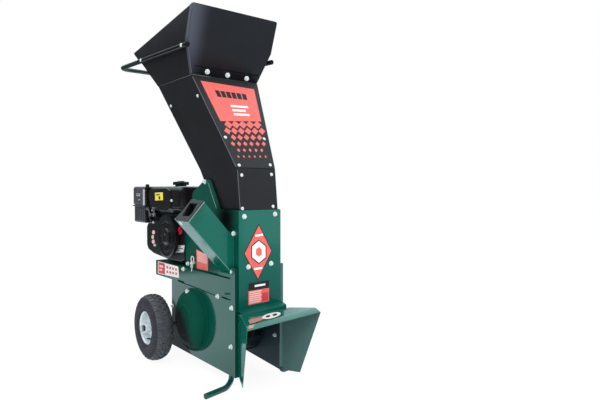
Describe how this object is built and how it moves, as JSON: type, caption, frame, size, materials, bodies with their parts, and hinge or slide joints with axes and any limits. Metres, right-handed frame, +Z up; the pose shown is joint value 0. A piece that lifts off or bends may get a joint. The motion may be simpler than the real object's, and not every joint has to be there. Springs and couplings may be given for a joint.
{
  "type": "chipper shredder",
  "caption": "Walk-behind garden chipper shredder with a tall feed hopper, side branch chute, front discharge guard, engine and two wheels.",
  "frame": {"origin": "on the ground, under the centre of the machine's bounding box", "axes": "+Z up; -Y is the front, where chips come out; -X is the side with the branch chute"},
  "size_m": [0.5142, 1.008, 1.3262],
  "materials": {
    "body_paint": "gloss",
    "hopper_paint": "satin",
    "dark_steel": "matte",
    "steel": "satin",
    "zinc": "satin",
    "rubber": "matte",
    "tyre": "matte",
    "wheel_rim": "satin",
    "black_plastic": "matte",
    "tank_plastic": "gloss",
    "aluminium": "cast",
    "switch_red": "gloss",
    "rope": "matte",
    "iron": "matte"
  },
  "bodies": {
    "machine": {"base_side_left": "body_paint", "base_side_right": "body_paint", "upper_housing": "body_paint", "front_plate": "body_paint", "rotor_scroll": "dark_steel", "discharge_screen": "dark_steel", "guard_hinge_rod": "zinc", "branch_chute": "body_paint", "branch_chute_rim": "rubber", "chute_body": "hopper_paint", "chute_front_upper": "hopper_paint", "chute_front_lower": "hopper_paint", "hopper_front": "hopper_paint", "hopper_side_left": "hopper_paint", "hopper_side_right": "hopper_paint", "hopper_back": "hopper_paint", "handle_bar": "hopper_paint", "bearing_left": "iron", "bearing_right": "iron", "bearing_cover": "body_paint", "drive_belt": "rubber", "belt_guard": "body_paint", "wheel_axle": "steel", "stand_foot_left": "body_paint", "stand_foot_right": "body_paint", "engine_deck": "body_paint", "engine_block": "aluminium", "fan_shroud": "black_plastic", "recoil_cover": "black_plastic", "recoil_rope": "rope", "fuel_tank": "tank_plastic", "air_cleaner": "black_plastic", "carburetor": "aluminium", "muffler": "iron", "latch_pin": "zinc"},
    "rotor": {"rotor_shaft": "steel", "rotor_disc_left": "dark_steel", "rotor_disc_right": "dark_steel", "hammer_rod_a": "steel", "hammer_rod_b": "steel", "chipper_knife_a": "steel", "chipper_knife_b": "steel", "rotor_pulley": "iron"},
    "hammer_top": {"hammer_a": "steel"},
    "hammer_bottom": {"hammer_b": "steel"},
    "crank": {"crankshaft": "steel", "clutch_pulley": "iron"},
    "wheel_left": {"wheel_rim_left": "wheel_rim", "wheel_tyre_left": "tyre"},
    "wheel_right": {"wheel_rim_right": "wheel_rim", "wheel_tyre_right": "tyre"},
    "guard": {"discharge_guard": "body_paint"},
    "feed_flap": {"hopper_flap": "rubber"},
    "branch_flap": {"branch_chute_flap": "rubber"},
    "starter_grip": {"recoil_grip": "black_plastic"},
    "cap": {"fuel_cap": "black_plastic"},
    "choke": {"choke_lever": "zinc"},
    "throttle": {"throttle_lever": "zinc"},
    "switch": {"engine_switch": "switch_red"},
    "clip": {"r_clip": "zinc"}
  },
  "joints": [
    {"name": "rotor_spin", "type": "hinge", "parent": "machine", "child": "rotor", "pos_m": [0.0126, -0.104, 0.19], "axis": [1, 0, 0], "continuous": true},
    {"name": "hammer_top_swing", "type": "hinge", "parent": "rotor", "child": "hammer_top", "pos_m": [0.0126, -0.104, 0.285], "axis": [1, 0, 0], "continuous": true},
    {"name": "hammer_bottom_swing", "type": "hinge", "parent": "rotor", "child": "hammer_bottom", "pos_m": [0.0126, -0.104, 0.095], "axis": [1, 0, 0], "continuous": true},
    {"name": "crank_spin", "type": "hinge", "parent": "machine", "child": "crank", "pos_m": [0.0126, 0.161, 0.482], "axis": [1, 0, 0], "continuous": true},
    {"name": "wheel_left_spin", "type": "hinge", "parent": "machine", "child": "wheel_left", "pos_m": [-0.1774, 0.117, 0.13], "axis": [1, 0, 0], "continuous": true},
    {"name": "wheel_right_spin", "type": "hinge", "parent": "machine", "child": "wheel_right", "pos_m": [0.2026, 0.117, 0.13], "axis": [1, 0, 0], "continuous": true},
    {"name": "guard_lift", "type": "hinge", "parent": "machine", "child": "guard", "pos_m": [0.0126, -0.394, 0.25], "axis": [-1, 0, 0], "range_deg": [0, 70]},
    {"name": "feed_flap_swing", "type": "hinge", "parent": "machine", "child": "feed_flap", "pos_m": [0.0126, -0.074, 1.08], "axis": [1, 0, 0], "range_deg": [-40, 35]},
    {"name": "branch_flap_swing", "type": "hinge", "parent": "machine", "child": "branch_flap", "pos_m": [-0.18237, -0.276, 0.62285], "axis": [0, -1, 0], "range_deg": [-20, 38]},
    {"name": "starter_pull", "type": "slide", "parent": "machine", "child": "starter_grip", "axis": [-1, 0, 0], "range_m": [0, 0.6], "stiffness_N_per_m": 25, "deforming": ["recoil_rope"]},
    {"name": "cap_turn", "type": "hinge", "parent": "machine", "child": "cap", "pos_m": [-0.0374, 0.162, 0.7], "axis": [0, 0, 1], "range_deg": [0, 120]},
    {"name": "choke_turn", "type": "hinge", "parent": "machine", "child": "choke", "pos_m": [-0.1044, 0.328, 0.5655], "axis": [1, 0, 0], "range_deg": [0, 50]},
    {"name": "throttle_turn", "type": "hinge", "parent": "machine", "child": "throttle", "pos_m": [-0.1044, 0.288, 0.5655], "axis": [1, 0, 0], "range_deg": [-40, 15]},
    {"name": "switch_rock", "type": "hinge", "parent": "machine", "child": "switch", "pos_m": [-0.0889, 0.062, 0.511], "axis": [0, 1, 0], "range_deg": [-7, 7]},
    {"name": "clip_pull", "type": "slide", "parent": "machine", "child": "clip", "axis": [0, 0, 1], "range_m": [0, 0.04]}
  ],
  "couplings": [
    {"joint": "crank_spin", "follows": "rotor_spin", "ratio": 1.514}
  ]
}
